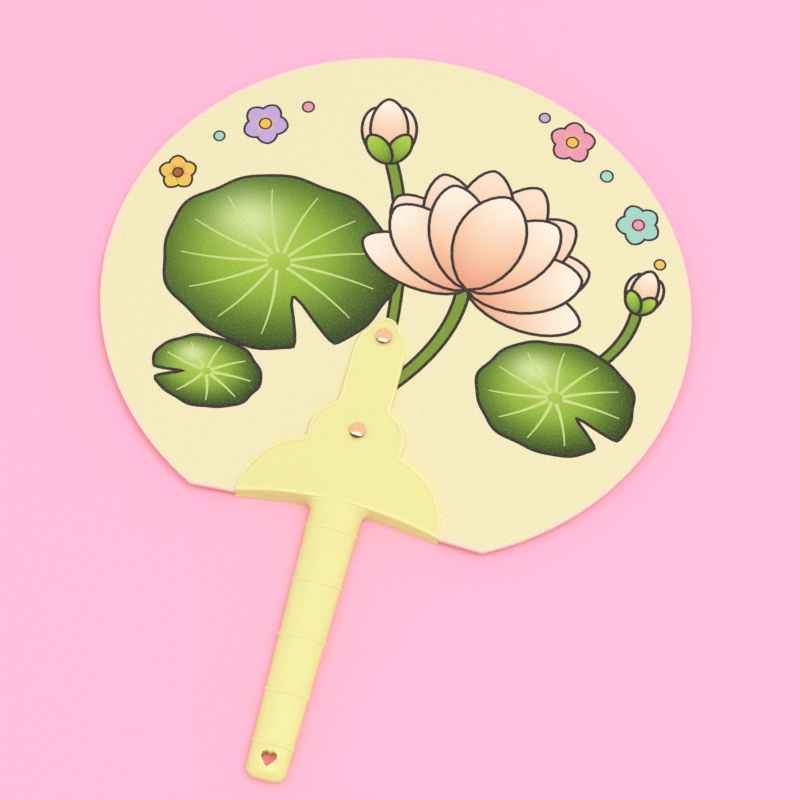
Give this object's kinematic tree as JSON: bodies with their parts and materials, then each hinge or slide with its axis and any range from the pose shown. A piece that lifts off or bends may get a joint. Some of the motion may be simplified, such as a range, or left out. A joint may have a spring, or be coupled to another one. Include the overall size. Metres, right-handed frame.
{
  "type": "round uchiwa fan",
  "caption": "Round hand fan: an oval cloth-faced leaf, cut across at its foot, riveted between the plates of a ringed plastic grip with a heart-shaped hang hole.",
  "frame": {"origin": "middle of the fan's own box in X and Y, on the table that it lies on", "axes": "+X across the leaf, +Y from the end of the grip to the top of the leaf, +Z out of the printed front"},
  "size_m": [0.28, 0.361, 0.0139],
  "materials": {
    "printed_cloth": "fine matt weave, printed",
    "plain_cloth": "fine matt weave",
    "foam_board": "matt cut edge",
    "handle_plastic": "satin moulded, slightly translucent",
    "cap_brass": "polished gold plate",
    "rivet_brass": "plain"
  },
  "bodies": {
    "root": {"front_cloth": "printed_cloth", "core_board": "foam_board", "rear_cloth": "plain_cloth", "handle_front_half": "handle_plastic", "handle_rear_half": "handle_plastic", "upper_rivet_front_cap": "cap_brass", "upper_rivet_socket": "rivet_brass", "upper_rivet_post": "rivet_brass", "upper_rivet_rear_cap": "cap_brass", "lower_rivet_front_cap": "cap_brass", "lower_rivet_socket": "rivet_brass", "lower_rivet_post": "rivet_brass", "lower_rivet_rear_cap": "cap_brass"}
  },
  "joints": []
}
